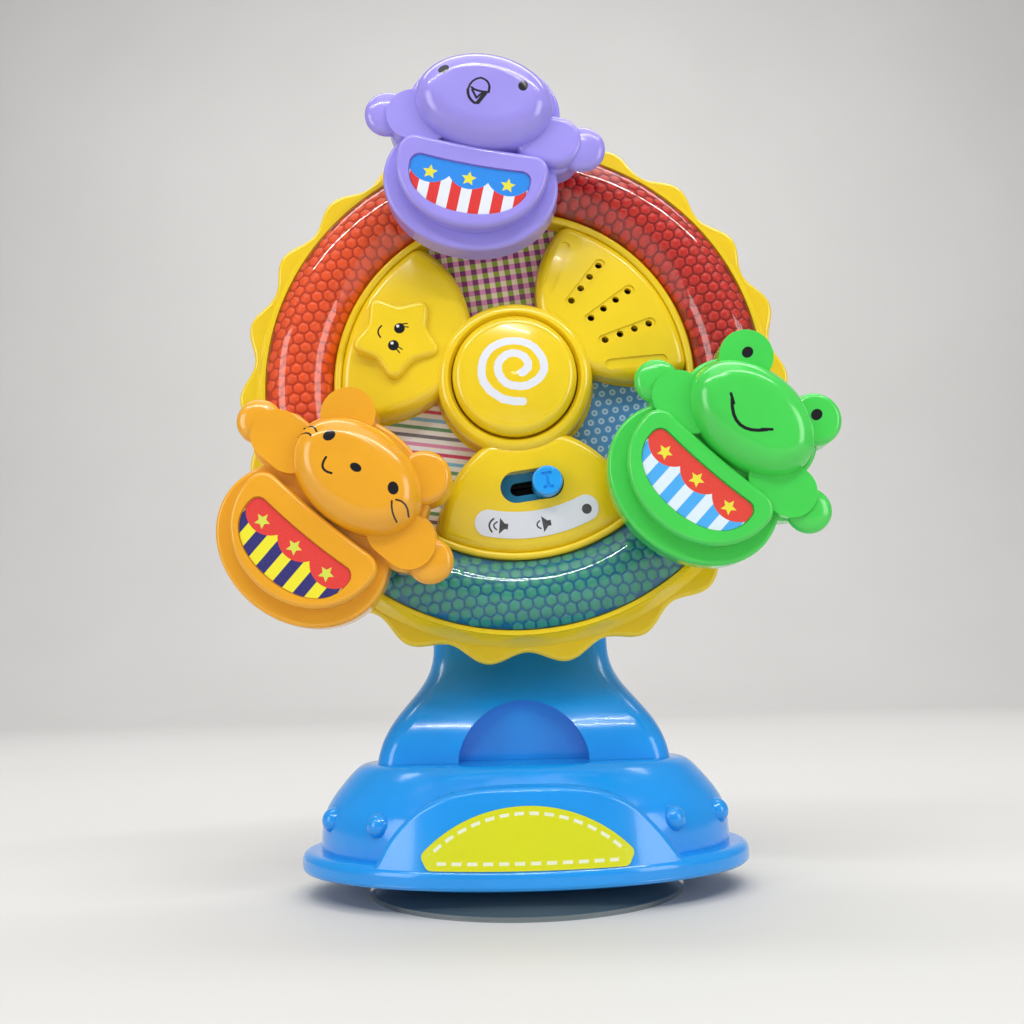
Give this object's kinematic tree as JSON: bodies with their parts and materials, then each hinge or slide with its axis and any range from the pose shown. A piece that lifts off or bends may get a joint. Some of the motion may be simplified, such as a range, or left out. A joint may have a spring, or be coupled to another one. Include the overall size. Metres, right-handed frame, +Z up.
{
  "type": "suction toy ferris wheel",
  "caption": "Suction-cup toy ferris wheel: a light-up wheel on a blue stand with free-swinging animal gondolas, a press button and a volume slider.",
  "frame": {"origin": "centre of the suction cup's foot, on the table", "axes": "+Z up, the toy's front faces -Y, the wheel turns about a line along Y"},
  "size_m": [0.1743, 0.096, 0.2446],
  "materials": {
    "cup_vinyl": "soft clear grey-blue vinyl",
    "steel": "plated steel screws and washers",
    "blue_plastic": "glossy moulded blue",
    "grey_plastic": "matt grey moulded",
    "plate_print": "printed yellow-green label with a stitched border",
    "yellow_plastic": "glossy moulded yellow",
    "nylon": "natural nylon bearing",
    "lens_orange": "clear orange polystyrene with a honeycomb underside",
    "lens_blue": "clear blue-green polystyrene with a honeycomb underside",
    "lens_red": "clear red polystyrene with a honeycomb underside",
    "reflector": "yellow ring behind the lenses",
    "board_green": "green circuit board",
    "lamp_clear": "clear lamp domes",
    "black_plastic": "black switch and speaker bodies",
    "label_print": "printed paper labels",
    "cell_wrap": "plain wrapped cells",
    "contact": "nickel contacts",
    "knob_blue": "glossy blue",
    "button_plastic": "glossy yellow centre button with a printed cream spiral",
    "purple_plastic": "glossy lilac blue",
    "amber_plastic": "glossy amber",
    "green_plastic": "glossy green",
    "spring_steel": "sprung wire"
  },
  "bodies": {
    "stand": {"suction_cup": "cup_vinyl", "cup_washer": "steel", "cup_screw": "steel", "base_plate": "grey_plastic", "base_screws": "steel", "base_shell": "blue_plastic", "name_plate": "plate_print", "pedestal_front": "blue_plastic", "pedestal_rear": "blue_plastic", "pedestal_screws": "steel", "foot_screws": "steel", "axle": "steel", "axle_washer": "steel", "axle_screw": "steel"},
    "wheel": {"wheel_front_shell": "yellow_plastic", "wheel_rear_shell": "yellow_plastic", "hub_bush": "nylon", "wheel_screws": "steel", "lens_orange": "lens_orange", "lens_blue": "lens_blue", "lens_red": "lens_red", "lamp_reflector": "reflector", "lamp_board": "board_green", "lamps": "lamp_clear", "circuit_board": "board_green", "board_screws": "steel", "button_switch": "black_plastic", "slide_switch": "black_plastic", "switch_tray": "knob_blue", "speaker": "black_plastic", "sticker_top": "label_print", "sticker_right": "label_print", "sticker_left": "label_print", "volume_label": "label_print", "batteries": "cell_wrap", "battery_contacts": "contact", "battery_door": "yellow_plastic", "door_screw": "steel", "pivot_washers": "steel", "pivot_screws": "steel"},
    "button": {"centre_button": "button_plastic", "button_spring": "spring_steel"},
    "knob": {"volume_knob": "knob_blue", "switch_slider": "black_plastic"},
    "bird_gondola": {"bird_front": "purple_plastic", "bird_rear": "purple_plastic", "bird_screws": "steel", "bird_sticker": "label_print"},
    "cat_gondola": {"cat_front": "amber_plastic", "cat_rear": "amber_plastic", "cat_screws": "steel", "cat_sticker": "label_print"},
    "frog_gondola": {"frog_front": "green_plastic", "frog_rear": "green_plastic", "frog_screws": "steel", "frog_sticker": "label_print"}
  },
  "joints": [
    {"name": "wheel_spin", "type": "hinge", "parent": "stand", "child": "wheel", "pos_m": [0, -0.017, 0.1485], "axis": [0, -1, 0], "continuous": true},
    {"name": "button_press", "type": "slide", "parent": "wheel", "child": "button", "axis": [0, 1, 0], "range_m": [0, 0.0025], "stiffness_N_per_m": 400, "springref_m": -0.001, "deforming": ["button_spring"]},
    {"name": "volume_slide", "type": "slide", "parent": "wheel", "child": "knob", "axis": [0.9914, 0, 0.1305], "range_m": [-0.0088, 0]},
    {"name": "bird_swing", "type": "hinge", "parent": "wheel", "child": "bird_gondola", "pos_m": [-0.00848, -0.017, 0.21294], "axis": [0, -1, 0], "continuous": true},
    {"name": "cat_swing", "type": "hinge", "parent": "wheel", "child": "cat_gondola", "pos_m": [-0.05157, -0.017, 0.10893], "axis": [0, -1, 0], "continuous": true},
    {"name": "frog_swing", "type": "hinge", "parent": "wheel", "child": "frog_gondola", "pos_m": [0.06005, -0.017, 0.12363], "axis": [0, -1, 0], "continuous": true}
  ]
}
